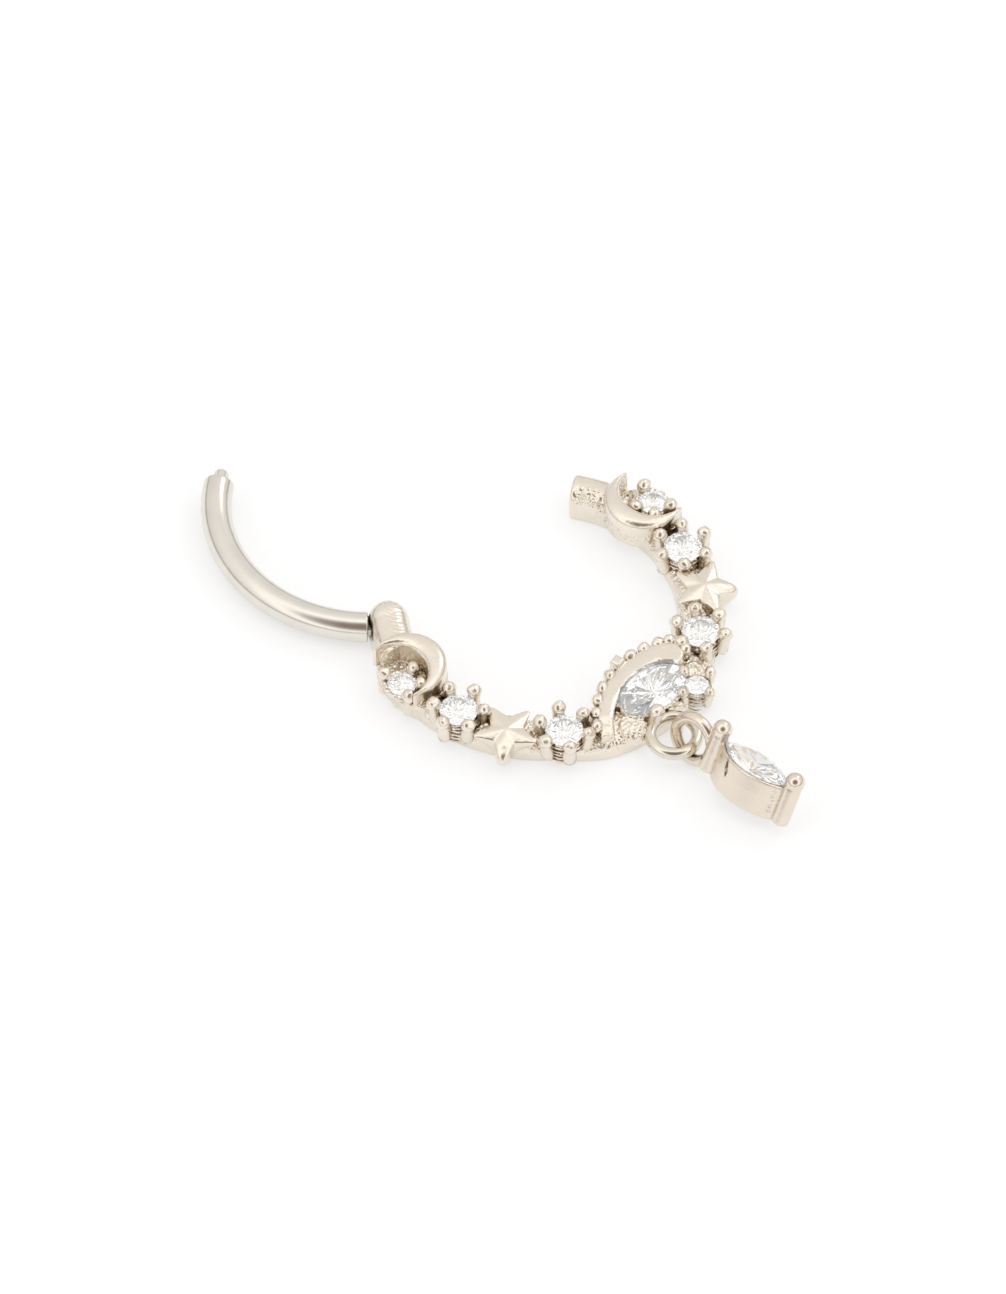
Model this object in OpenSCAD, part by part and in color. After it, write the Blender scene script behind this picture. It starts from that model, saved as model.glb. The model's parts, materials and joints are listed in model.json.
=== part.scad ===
// Hinged clicker ring, open and lying on its flat back, with a small marquise drop on its front loop.
// Millimetres. +Z up from the surface it lies on, +Y towards the opening, +X towards the socket end.

/* [Cast frame] */
// Radius of the middle line of the ring
ring_r = 7.94; // [7.9:0.01:8]
// Width of the frame's D section
shank_w = 1.9; // [1.86:0.02:1.94]
// Height of the D section at both ends
shank_h = 1.92; // [1.88:0.02:1.96]
// Width of the lower band that carries the settings
band_w = 1.7; // [1.6:0.05:1.8]
// Height of the lower band that carries the settings
band_h = 1.3; // [1.2:0.05:1.35]
// Angle on the ring of the socket's end face
socket_angle = 36.2; // [35.5:0.1:37]
// Angle on the ring where the D section gives way to the lower band
band_from = 10; // [8:1:12]

/* [Hinge] */
// Angle on the ring of the hinge
hinge_angle = 143.1; // [142:0.1:144]
// Radius of the domed barrel
barrel_r = 0.97; // [0.96:0.01:1]
// Height of the domed barrel
barrel_h = 2.2; // [2:0.05:2.3]
// Height of the slot for the bar's tongue
slot_h = 0.58; // [0.56:0.01:0.62]
// Thickness of the tongue
tongue_t = 0.48; // [0.4:0.01:0.5]
// Radius of the tongue's round eye
eye_r = 0.78; // [0.7:0.01:0.8]
// Width of the neck between the eye and the bar
neck_w = 1; // [0.8:0.05:1]
// Diameter of the rivet
pin_d = 0.64; // [0.6:0.02:0.68]
// Clearance all round the rivet in the eye
pin_gap = 0.04; // [0.03:0.01:0.06]
// Angle that the bar stands open by
open_angle = 91; // [60:1:95]

/* [Bar] */
// Diameter of the bar, 14 gauge
bar_d = 1.6; // [1.5:0.05:1.6]
// Height of the bar's middle line above the surface
bar_z = 0.96; // [0.92:0.01:1]
// Distance along the bar from the hinge to its end face
bar_from = 1.08; // [1.06:0.01:1.24]
// Diameter of the nipple at the tip
nipple_d = 0.74; // [0.68:0.02:0.74]
// Length of the nipple
nipple_l = 0.75; // [0.5:0.05:0.8]
// Depth of the pocket that takes the nipple
pocket_l = 0.9; // [0.85:0.05:1]
// Gap between the bar's shoulder and the socket face when closed
shoulder_gap = 0.08; // [0.06:0.01:0.12]

/* [Round settings] */
// Diameter of the four main round stones
stone_d = 2; // [1.94:0.02:2]
// Height of the girdle of the main round stones
stone_z = 1.62; // [1.6:0.01:1.66]
// Radius of the circle of prongs
prong_r = 1.32; // [1.32:0.01:1.36]
// Diameter of a prong's post
post_d = 0.62; // [0.56:0.02:0.62]
// Diameter of a prong's ball tip
ball_d = 0.72; // [0.66:0.02:0.72]
// Height of the middle of the ball tips
ball_z = 1.87; // [1.86:0.01:1.92]

/* [Stars and moons] */
// Distance from a star's middle to its tips
star_r = 1.66; // [1.5:0.02:1.7]
// Height of a star's peak
star_z = 2.1; // [2:0.05:2.2]
// Radius of a moon's outer edge
moon_r = 1.95; // [1.9:0.01:1.98]
// Radius of a moon's inner edge
moon_in_r = 1.76; // [1.7:0.01:1.78]
// Height of a moon's crown
moon_z = 2.3; // [2.2:0.05:2.4]
// Diameter of the stone in a moon
moon_stone_d = 1.5; // [1.4:0.05:1.5]

/* [Centre] */
// Length of the centre stone
centre_l = 4.1; // [4:0.1:4.1]
// Width of the centre stone
centre_w = 2.5; // [2.3:0.1:2.5]
// Diameter of a milgrain bead on the halo
bead_d = 0.6; // [0.5:0.02:0.62]
// Diameter of the small stone beside the centre
small_d = 1.25; // [1.1:0.05:1.25]

/* [Loop and drop] */
// Wire of the flat loop and of the bail ring
wire_d = 0.66; // [0.58:0.02:0.66]
// Middle diameter of the flat loop
loop_d = 2.42; // [2.4:0.02:2.46]
// Middle diameter of the bail ring
bail_d = 2.36; // [2.34:0.02:2.36]
// Length of the drop's stone
drop_l = 4.2; // [4:0.1:4.2]
// Width of the drop's stone
drop_w = 2.1; // [1.9:0.1:2.1]
// Angle that the drop has rolled over by, where it lies
drop_roll = 28; // [26:1:29]

/* [Hidden] */
$fn = 48;
over = 0.1;
silver = [0.84, 0.81, 0.76];
steel = [0.80, 0.80, 0.79];
clear = [0.90, 0.94, 0.97];

// The ring's middle, set so that the origin lies under the middle of the whole object's box
ring_at = [0.43, 0.07];
hinge_r = 7.99;
hinge = hinge_r * [cos(hinge_angle), sin(hinge_angle)];
// The middle of the closed bar's own arc, a little off the ring's middle
bar_arc_at = [-0.11, 0.17];
slot_r = 1.14;
pin_foot = 0.04;
pin_top = 1.6;
pin_fit = 0.01;
pocket_gap = 0.06;
pocket_out = 0.58;
neck_over = 0.5;

// Cut stones: heights as shares of the stone's width, radii as shares of its outline
girdle_share = 0.025;
crown_share = 0.15;
pavilion_share = 0.4;
table_share = 0.56;
star_share = 0.8;
lower_share = 0.3;
seat_gap = 0.05;

// Each six prong setting: where it sits and how far it is turned
settings = [[-7.87, -2.18, 9.4], [-4.78, -6.85, 0.3], [7.87, -2.18, -9.4], [4.78, -6.85, -0.3]];
setting_foot = 0.14;
post_foot = 0.45;
cup_foot_in = 0.2;
cup_rim_out = 0.12;

// Each star: where it sits and which way its first tip points; the last tip droops over the outer side
stars = [[-6.97, -4.81, 226], [6.97, -4.81, 321]];
star_foot = 0.95;
star_tip_z = 1.72;
star_droop_z = 1.4;
star_valley = 0.42;

// The right moon; the left one is its mirror
moon_at = [8.35, 1.28];
moon_in_at = [9.09, 1.4];
moon_foot = 0.9;
moon_dome_r = 5;
moon_dome_in = 0.8;
moon_stone_at = [8.82, 1.13];
moon_stone_z = 1.5;
moon_prong_r = 1.03;
moon_prongs = [72, 168, 232, 292];
moon_post_d = 0.5;
moon_ball_d = 0.56;
moon_post_foot = 0.5;
moon_ball_z = 1.72;

centre_at = [0.4, -7.95];
centre_z = 1.6;
centre_foot = 0.2;
centre_rim = 0.12;
centre_lean = 0.25;
// The ball tipped prong in front of the centre stone
front_prong_at = [-0.55, -9.3];
front_post_d = 0.62;
front_ball_d = 0.74;
front_ball_z = 1.85;
// The halo's long arc, its thinner inner arc and its round right end
halo_at = [0.79, -10.82];
halo_r = 4.95;
halo_from = 66;
halo_to = 150;
halo_in_at = [0.59, -11.14];
halo_in_r = 4.32;
halo_end_at = [2.5, -7];
halo_end_r = 0.7;
halo_foot = 0.5;
halo_z = 1.95;
halo_band_w = 1.4;
bead_z = 1.75;
bead_out = 0.2;
// The one square prong among the beads
square_at = [0.1, -5.68];
square_turn = 15;
square_w = 0.56;
square_foot = 0.35;
square_top = 2.05;
small_at = [2.35, -9.2];
small_z = 1.45;
small_foot = 0.3;
small_prong_r = 0.96;
small_post_d = 0.44;
small_ball_d = 0.54;
small_post_foot = 0.35;
small_ball_z = 1.66;

loop_at = [-0.52, -10.57];
loop_z = 1.04;
solder_w = 1;
solder_l = 0.9;
solder_h = 0.52;
bail_at = [-0.15, -11.68, 1.46];
bail_roll = 20;
drop_turn = -85.6;
drop_at = [-0.59, -13.09];
drop_lift = 0.54;
drop_run = 5.05;
drop_h = 2.6;
drop_girdle_z = 2.1;
foot_r = 0.36;
neck_r = 0.46;
drop_ball = 1.04;
wall_t = 0.3;
wall_h = 2.03;
wall_lean = 0.1;
// The slanted notch cut through the drop's wall beside the near post
notch_at = [1.45, 0.4, 1.8];
notch_size = [0.4, 2, 2.2];
notch_slant = 30;

// Height of a marquise or round outline at x
function side_y(l, w, x) =
    let (rho = (l * l + w * w) / 4 / w) sqrt(max(0, rho * rho - x * x)) - rho + w / 2;

// A point on the outline of a cut stone at an angle, scaled in from the girdle
function outline(l, w, a, share, z, oval) =
    let (x = l / 2 * cos(a), y = oval ? w / 2 * abs(sin(a)) : side_y(l, w, x))
    [share * x, share * sign(sin(a)) * y, z];

// A cut stone with its girdle at z = 0: table, crown, girdle and pavilion
module cut_stone(l, w, oval = false) {
    top = girdle_share * w / 2;
    table_z = top + crown_share * w;
    star_at_z = top + crown_share * w * 0.62;
    culet_z = -top - pavilion_share * w;
    points = concat(
        [for (i = [0:7]) outline(l, w, 45 * i, table_share, table_z, oval)],
        [for (i = [0:7]) outline(l, w, 45 * i + 22.5, star_share, star_at_z, oval)],
        [for (j = [0:15]) outline(l, w, 22.5 * j, 1, top, oval)],
        [for (j = [0:15]) outline(l, w, 22.5 * j, 1, -top, oval)],
        [for (i = [0:7]) outline(l, w, 45 * i + 22.5, lower_share, culet_z * 0.8, oval)],
        [[0, 0, culet_z]]);
    faces = concat(
        [[7, 6, 5, 4, 3, 2, 1, 0]],
        [for (i = [0:7]) [i, (i + 1) % 8, 8 + i]],
        [for (i = [0:7]) [i, 16 + 2 * i, 8 + (i + 7) % 8]],
        [for (i = [0:7]) [i, 8 + i, 16 + 2 * i]],
        [for (i = [0:7]) [8 + i, 17 + 2 * i, 16 + 2 * i]],
        [for (i = [0:7]) [8 + i, 16 + (2 * i + 2) % 16, 17 + 2 * i]],
        [for (j = [0:15]) [16 + j, 16 + (j + 1) % 16, 32 + (j + 1) % 16, 32 + j]],
        [for (i = [0:7]) [48 + i, 32 + 2 * i, 33 + 2 * i]],
        [for (i = [0:7]) [48 + i, 33 + 2 * i, 32 + (2 * i + 2) % 16]],
        [for (i = [0:7]) [56, 48 + (i + 7) % 8, 32 + 2 * i]],
        [for (i = [0:7]) [56, 32 + 2 * i, 48 + i]]);
    polyhedron(points, faces, convexity = 2);
}

// A marquise prism whose sides lean in towards its foot, with its ends clipped round if blunt
module marquise(l, w, h, lean, blunt = false) {
    reach = blunt ? 1.3 * l : l;
    rho = (reach * reach + w * w) / 4 / w;
    clip_r = blunt ? l / 2 : l;
    intersection() {
        translate([0, rho - w / 2, 0]) cylinder(h = h, r1 = rho - lean, r2 = rho, $fn = 96);
        translate([0, w / 2 - rho, 0]) cylinder(h = h, r1 = rho - lean, r2 = rho, $fn = 96);
        cylinder(h = h, r1 = clip_r - lean, r2 = clip_r, $fn = 96);
    }
}

// The seat that a long stone drops into, with its girdle at z = 0
module long_seat(l, w, lean, blunt = false) {
    deep = pavilion_share * w + 2 * seat_gap;
    translate([0, 0, -deep]) marquise(l + 2 * seat_gap, w + 2 * seat_gap, deep, lean, blunt);
    translate([0, 0, -over]) marquise(l + 2 * seat_gap, w + 2 * seat_gap, 2 * over, 0, blunt);
}

// A D section, flat back down and round top up
module d_section(w, h) {
    translate([-w / 2, 0]) square([w, h - w / 2]);
    intersection() {
        translate([0, h - w / 2]) circle(d = w);
        translate([-w, h - w / 2]) square([2 * w, w]);
    }
}

// A length of the ring with that section, between two angles
module ring_length(w, h, from, to) {
    rotate([0, 0, from]) rotate_extrude(angle = to - from, $fn = 96) translate([ring_r, 0]) d_section(w, h);
}

// The domed end round the hinge
module barrel() {
    translate([hinge[0], hinge[1], 0]) rotate_extrude() intersection() {
        union() {
            square([barrel_r, barrel_h - barrel_r]);
            translate([0, barrel_h - barrel_r]) circle(r = barrel_r);
        }
        square([barrel_r + over, barrel_h + over]);
    }
}

// A ball tipped post
module prong(d, ball, z0, z1) {
    translate([0, 0, z0]) cylinder(h = z1 - z0, d = d, $fn = 24);
    translate([0, 0, z1]) sphere(d = ball, $fn = 32);
}

// The seat that a round stone drops into, with its girdle at z
module round_seat(d, z) {
    r = d / 2 + seat_gap;
    deep = pavilion_share * d + 2 * seat_gap;
    translate([0, 0, z - deep]) cylinder(h = deep, r1 = 0.05, r2 = r);
    translate([0, 0, z - over]) cylinder(h = over + girdle_share * d + seat_gap, r = r);
}

// A tapered cup under a round stone
module cup(d, z, foot) {
    translate([0, 0, foot]) cylinder(h = z - foot - seat_gap, r1 = d / 2 - cup_foot_in, r2 = d / 2 + cup_rim_out);
}

// Prongs round a stone
module prongs(ring, angles, post, ball, foot, top) {
    for (a = angles) translate([ring * cos(a), ring * sin(a), 0]) prong(post, ball, foot, top);
}

// A five pointed ridged star whose first tip droops
module star() {
    tips = [for (i = [0:4]) [star_r * cos(72 * i), star_r * sin(72 * i), i == 0 ? star_droop_z : star_tip_z]];
    valley_r = star_r * star_valley;
    valley_z = star_tip_z - 0.12;
    valleys = [for (i = [0:4]) [valley_r * cos(72 * i + 36), valley_r * sin(72 * i + 36), valley_z]];
    foot_tips = [for (i = [0:4]) [star_r * cos(72 * i), star_r * sin(72 * i), i == 0 ? 0.7 : star_foot]];
    foot_valleys = [for (v = valleys) [v[0], v[1], star_foot - 0.1]];
    points = concat(tips, valleys, foot_tips, foot_valleys, [[0, 0, star_z], [0, 0, star_foot - 0.1]]);
    faces = [for (i = [0:4]) for (f = [
        [20, i, 5 + (i + 4) % 5], [20, 5 + i, i],
        [i, 5 + i, 15 + i], [i, 15 + i, 10 + i],
        [5 + (i + 4) % 5, i, 10 + i], [5 + (i + 4) % 5, 10 + i, 15 + (i + 4) % 5],
        [21, 15 + (i + 4) % 5, 10 + i], [21, 10 + i, 15 + i]]) f];
    polyhedron(points, faces, convexity = 4);
}

// A crescent with a domed top, opening away from the ring's middle
module moon() {
    intersection() {
        difference() {
            translate([moon_at[0], moon_at[1], moon_foot]) cylinder(h = moon_z, r = moon_r, $fn = 64);
            translate([moon_in_at[0], moon_in_at[1], 0]) cylinder(h = 3 * moon_z, r = moon_in_r, $fn = 64);
        }
        translate([moon_at[0] - moon_dome_in, moon_at[1], moon_z - moon_dome_r])
            sphere(r = moon_dome_r, $fn = 96);
    }
}

// A moon's cup and prongs
module moon_setting() {
    translate([moon_stone_at[0], moon_stone_at[1], 0]) {
        cup(moon_stone_d, moon_stone_z, setting_foot);
        prongs(moon_prong_r, moon_prongs, moon_post_d, moon_ball_d, moon_post_foot, moon_ball_z);
    }
}

// Milgrain beads along an arc
module milgrain(at, r, angles) {
    for (a = angles) translate([at[0] + r * cos(a), at[1] + r * sin(a), bead_z]) sphere(d = bead_d, $fn = 24);
}

// The crescent halo with its milgrain edge
module halo() {
    difference() {
        translate([halo_at[0], halo_at[1], halo_foot]) rotate([0, 0, halo_from])
            rotate_extrude(angle = halo_to - halo_from, $fn = 96) translate([halo_r - halo_band_w, 0])
                square([halo_band_w, halo_z - halo_foot]);
        translate([halo_in_at[0], halo_in_at[1], 0]) cylinder(h = 2 * halo_z, r = halo_in_r, $fn = 96);
    }
    translate([halo_end_at[0], halo_end_at[1], halo_foot]) cylinder(h = halo_z - halo_foot, r = halo_end_r);
    milgrain(halo_at, halo_r + bead_out, [69.5:9.4:147]);
    milgrain(halo_end_at, halo_end_r + bead_out, [-14:32.5:51]);
}

// Everything round the centre stone and the small stone beside it
module centre() {
    halo();
    translate([centre_at[0], centre_at[1], centre_foot])
        marquise(centre_l + 2 * seat_gap, centre_w + 2 * centre_rim, centre_z - centre_foot - seat_gap,
            centre_lean, true);
    translate([square_at[0], square_at[1], (square_foot + square_top) / 2]) rotate([0, 0, square_turn])
        cube([square_w, square_w, square_top - square_foot], center = true);
    translate([front_prong_at[0], front_prong_at[1], 0])
        prong(front_post_d, front_ball_d, centre_foot, front_ball_z);
    translate([small_at[0], small_at[1], 0]) {
        cup(small_d, small_z, small_foot);
        prongs(small_prong_r, [0, 90, 180, 270], small_post_d, small_ball_d, small_post_foot, small_ball_z);
    }
}

// The flat loop that carries the drop, with the solder that joins it to the band
module flat_loop() {
    translate([loop_at[0], loop_at[1], loop_z]) rotate_extrude() translate([loop_d / 2, 0]) circle(d = wire_d);
    translate([loop_at[0], loop_at[1] + (loop_d + solder_l) / 2 - wire_d / 4, loop_z])
        cube([solder_w, solder_l, solder_h], center = true);
}

// The pocket in the socket's end face, drawn out to the side that the nipple comes in from
module pocket() {
    rotate([0, 0, socket_angle]) translate([ring_r, over, bar_z]) rotate([90, 0, 0])
        for (d = [0, pocket_out]) translate([d, 0, 0]) cylinder(h = pocket_l + over, d = nipple_d + 2 * pocket_gap);
    rotate([0, 0, socket_angle]) translate([ring_r, -pocket_l, bar_z - nipple_d / 2 - pocket_gap])
        cube([pocket_out, pocket_l + over, nipple_d + 2 * pocket_gap]);
}

// The one piece casting
module cast_frame() {
    color(silver) difference() {
        union() {
            ring_length(shank_w, shank_h, band_from, socket_angle);
            ring_length(shank_w, shank_h, hinge_angle, 180 - band_from);
            ring_length(band_w, band_h, 170 - band_from, 370 + band_from);
            barrel();
            for (s = settings) translate([s[0], s[1], 0]) {
                cup(stone_d, stone_z, setting_foot);
                prongs(prong_r, [for (i = [0:5]) s[2] + 60 * i], post_d, ball_d, post_foot, ball_z);
            }
            for (s = stars) translate([s[0], s[1], 0]) rotate([0, 0, s[2]]) star();
            for (m = [0, 1]) mirror([m, 0, 0]) {
                moon();
                moon_setting();
            }
            centre();
            flat_loop();
        }
        for (s = settings) translate([s[0], s[1], 0]) round_seat(stone_d, stone_z);
        for (m = [0, 1]) mirror([m, 0, 0]) translate([moon_stone_at[0], moon_stone_at[1], 0])
            round_seat(moon_stone_d, moon_stone_z);
        translate([small_at[0], small_at[1], 0]) round_seat(small_d, small_z);
        translate([centre_at[0], centre_at[1], centre_z]) long_seat(centre_l, centre_w, 0.75, true);
        translate([hinge[0], hinge[1], bar_z - slot_h / 2]) cylinder(h = slot_h, r = slot_r);
        translate([hinge[0], hinge[1], -over]) cylinder(h = pin_top + over, d = pin_d + 2 * pin_fit);
        pocket();
    }
}

// The rivet, set blind from the back
module hinge_pin() {
    color(steel) translate([hinge[0], hinge[1], pin_foot])
        cylinder(h = pin_top - pin_foot - 2 * pin_fit, d = pin_d);
}

// The plain round bar as it lies when closed, with its tongue, eye and nipple
module closed_bar() {
    arc_off = bar_arc_at * [-sin(socket_angle), cos(socket_angle)];
    start = atan2(hinge[1] - bar_arc_at[1], hinge[0] - bar_arc_at[0]) - bar_from / ring_r * 180 / PI;
    end = socket_angle + (shoulder_gap - arc_off) / ring_r * 180 / PI;
    difference() {
        union() {
            translate([bar_arc_at[0], bar_arc_at[1], bar_z]) rotate([0, 0, end]) {
                rotate_extrude(angle = start - end, $fn = 96) translate([ring_r, 0]) circle(d = bar_d);
                translate([ring_r, over, 0]) rotate([90, 0, 0]) cylinder(h = nipple_l + over, d = nipple_d);
            }
            translate([hinge[0], hinge[1], bar_z - tongue_t / 2]) {
                cylinder(h = tongue_t, r = eye_r);
                rotate([0, 0, hinge_angle - 90]) translate([0, -neck_w / 2, 0])
                    cube([bar_from + neck_over, neck_w, tongue_t]);
            }
        }
        translate([hinge[0], hinge[1], 0]) cylinder(h = 2 * bar_z, d = pin_d + 2 * pin_gap);
    }
}

module hinged_bar() {
    color(steel) translate([hinge[0], hinge[1], 0]) rotate([0, 0, open_angle])
        translate([-hinge[0], -hinge[1], 0]) closed_bar();
}

module round_stone(i) {
    s = settings[i - 1];
    color(clear) translate([s[0], s[1], stone_z]) rotate([0, 0, s[2]]) cut_stone(stone_d, stone_d);
}

module moon_stone(m) {
    color(clear) mirror([m, 0, 0]) translate([moon_stone_at[0], moon_stone_at[1], moon_stone_z])
        cut_stone(moon_stone_d, moon_stone_d);
}

module centre_stone() {
    color(clear) translate([centre_at[0], centre_at[1], centre_z]) cut_stone(centre_l, centre_w, true);
}

module small_stone() {
    color(clear) translate([small_at[0], small_at[1], small_z]) cut_stone(small_d, small_d);
}

// Stands the drop's own frame where the drop lies: +X along its stone, +Z up its posts
module drop_place() {
    translate([drop_at[0], drop_at[1], drop_lift]) rotate([0, 0, drop_turn])
        rotate([-drop_roll, 0, 0]) children();
}

// The drop's two post marquise setting with its bail ring
module drop_setting() {
    color(silver) {
        drop_place() {
            difference() {
                translate([drop_run / 2, 0, 0]) marquise(drop_l + 2 * wall_t, drop_w + wall_t, wall_h, wall_lean);
                translate([drop_run / 2, 0, -over]) marquise(drop_l, drop_w - wall_t, drop_h, wall_lean);
                translate([drop_run / 2, 0, drop_girdle_z]) long_seat(drop_l, drop_w, 0.4);
                for (m = [0, 1]) mirror([0, m, 0]) translate(notch_at) rotate([0, notch_slant, 0])
                    cube(notch_size, center = true);
            }
            for (x = [0, drop_run]) translate([x, 0, 0]) {
                cylinder(h = drop_h, r1 = foot_r, r2 = neck_r, $fn = 32);
                translate([0, 0, drop_h - 0.02]) sphere(d = drop_ball, $fn = 40);
            }
        }
        translate(bail_at) rotate([0, 0, drop_turn]) rotate([90 - bail_roll, 0, 0]) rotate_extrude()
            translate([bail_d / 2, 0]) circle(d = wire_d);
    }
}

module drop_stone() {
    color(clear) drop_place() translate([drop_run / 2, 0, drop_girdle_z]) cut_stone(drop_l, drop_w);
}

translate([ring_at[0], ring_at[1], 0]) {
    cast_frame();
    hinge_pin();
    hinged_bar();
    round_stone(1);  // round_stone_1
    round_stone(2);  // round_stone_2
    round_stone(3);  // round_stone_3
    round_stone(4);  // round_stone_4
    moon_stone(1);  // moon_stone_left
    moon_stone(0);  // moon_stone_right
    centre_stone();
    small_stone();
    drop_setting();
    drop_stone();
}
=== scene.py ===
import json
import math
import bmesh
import bpy
from mathutils import Matrix, Vector, noise


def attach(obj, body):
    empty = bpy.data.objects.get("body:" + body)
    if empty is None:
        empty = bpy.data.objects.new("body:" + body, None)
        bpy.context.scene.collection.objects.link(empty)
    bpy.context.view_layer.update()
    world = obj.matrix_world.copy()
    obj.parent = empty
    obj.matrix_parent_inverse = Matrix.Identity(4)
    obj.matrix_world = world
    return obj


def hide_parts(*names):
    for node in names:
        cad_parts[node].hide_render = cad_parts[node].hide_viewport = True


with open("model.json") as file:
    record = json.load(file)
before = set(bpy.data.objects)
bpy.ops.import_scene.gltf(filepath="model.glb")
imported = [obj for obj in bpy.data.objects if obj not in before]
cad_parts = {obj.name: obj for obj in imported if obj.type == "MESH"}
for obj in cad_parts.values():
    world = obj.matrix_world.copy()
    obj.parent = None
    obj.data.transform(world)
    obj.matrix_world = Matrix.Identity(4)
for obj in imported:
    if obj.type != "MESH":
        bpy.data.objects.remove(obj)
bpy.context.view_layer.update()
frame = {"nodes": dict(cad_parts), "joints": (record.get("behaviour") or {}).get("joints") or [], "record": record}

# The shank is the hoop of the plated white metal casting: a D section, flat on its back and round on top.
# Its left end is a domed barrel, slotted for the bar's tongue and bored for its rivet, and its right end
# is a square cut socket with a pocket for the bar's nipple.
mm = 0.001
bar_mount = next(m for m in frame["record"]["mounts"] if m["name"] == "bar")
ring_middle = Vector((bar_mount["pos_m"][0], bar_mount["pos_m"][1], 0))
bar_joint = frame["joints"][0]
hinge = (Vector(bar_joint["pos_m"]) - ring_middle) / mm
ring_r = 7.94
shank_w = 1.9
shank_h = 1.92
shank_to = 161
shank_below_barrel = 0.02
socket_angle = 36.2
socket_edge = [(0, 0.84), (0.3, 0.93), (1, 1)]
hinge_angle = math.degrees(math.atan2(hinge.y, hinge.x))
barrel_r = 1.04
barrel_h = 2.2
barrel_edge = 0.1
fullness = 2.4


def polar(radius, degrees, z=0.0, at=(0.0, 0.0)):
    """A point at an angle round a middle, millimetres in the ring's own frame."""
    turn = math.radians(degrees)
    return Vector((at[0] + radius * math.cos(turn), at[1] + radius * math.sin(turn), z))


def steps(first, last, count):
    """Evenly spaced values, both ends among them."""
    return [first + (last - first) * i / (count - 1) for i in range(count)]


def lofted(rings, closed=False):
    """Skins closed rings of points one after another, with both ends capped unless the row closes."""
    n = len(rings[0])
    points = [p for ring in rings for p in ring]
    faces = []
    for i in range(len(rings) if closed else len(rings) - 1):
        j = (i + 1) % len(rings)
        for k in range(n):
            m = (k + 1) % n
            faces.append((i * n + k, i * n + m, j * n + m, j * n + k))
    if not closed:
        faces.append(tuple(reversed(range(n))))
        faces.append(tuple(range((len(rings) - 1) * n, len(rings) * n)))
    return points, faces


def turned(profile, at=(0.0, 0.0), sides=40):
    """A round solid from its radii and heights, foot first."""
    return lofted([[polar(r, 360 * k / sides, z, at) for k in range(sides)] for r, z in profile])


def arch(half, rise, foot, fullness, count=21):
    """Offsets and heights over a round top. A fullness above 2 squares its shoulders."""
    made = []
    power = 2 / fullness
    for t in steps(0, 180, count):
        c = math.cos(math.radians(t))
        s = math.sin(math.radians(t))
        made.append((half * math.copysign(abs(c) ** power, c), foot + rise * abs(s) ** power))
    return made


def d_section(width, height, edge=0.12):
    """Offsets and heights round a D: a flat back with eased corners, straight flanks and a round top."""
    half = width / 2
    right = [(half - edge, 0.0), (half - 0.3 * edge, 0.3 * edge), (half, edge)]
    return right + arch(half, half, height - half, fullness) + [(-x, z) for x, z in reversed(right)]


def swept(section, first, last, count):
    """A section carried round the ring from one angle to another."""
    return lofted([[polar(ring_r + x, a, z) for x, z in section] for a in steps(first, last, count)])


socket_end = [[polar(ring_r + x * grow, socket_angle - back, shank_h / 2 + (z - shank_h / 2) * grow)
               for x, z in d_section(shank_w, shank_h)]
              for back, grow in socket_edge]
shank = [swept(d_section(2 * barrel_r, barrel_h - shank_below_barrel), hinge_angle, shank_to, 40),
         lofted(socket_end),
         swept(d_section(shank_w, shank_h), socket_angle - 1, 180 - shank_to, 30)]
barrel_dome = arch(barrel_r, barrel_r, barrel_h - barrel_r, fullness, 41)[:20]
barrel = turned([(barrel_r - barrel_edge, 0), (barrel_r, barrel_edge)] + barrel_dome, hinge)

# The base is the lower band between the two ends, cast in one with the shank. It is loaf shaped, swells
# under each star, widens under the centre, and is left rough where the settings hide it.
base_in_r = 6.98
base_out_r = 9.05
base_h = 1.05
base_ends = (156, 384)
base_foot_z = 0.08
base_edge = 0.1
loaf_fullness = 0.45
star_angles = [214.6, 325.4]
swell_h = 0.45
swell_spread = 8.5
centre_from = (228, 253)
centre_to = (287, 312)
centre_h = 0.25
centre_swell = 0.56


def ease(low, high, value):
    """Smooth rise from 0 at low to 1 at high."""
    share = min(1.0, max(0.0, (value - low) / (high - low)))
    return share * share * (3 - 2 * share)


def base_section(angle):
    """The loaf cut across the ring, from its outer foot over its top to its inner foot."""
    centre = ease(*centre_from, angle) * (1 - ease(*centre_to, angle))
    out_r = base_out_r + centre_swell * centre
    height = base_h + swell_h * sum(math.exp(-((angle - a) / swell_spread) ** 2) for a in star_angles)
    height += centre_h * centre
    middle = (base_in_r + out_r) / 2
    half = (out_r - base_in_r) / 2
    outline = [(out_r - base_edge, 0)]
    for t in steps(0, 180, 21):
        rise = max(0.0, math.sin(math.radians(t))) ** loaf_fullness
        z = base_foot_z + (height - base_foot_z) * rise
        outline.append((middle + half * math.cos(math.radians(t)), z))
    outline.append((base_in_r + base_edge, 0))
    return [polar(r, angle, z) for r, z in outline]


base = lofted([base_section(a) for a in steps(*base_ends, 165)])

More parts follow.
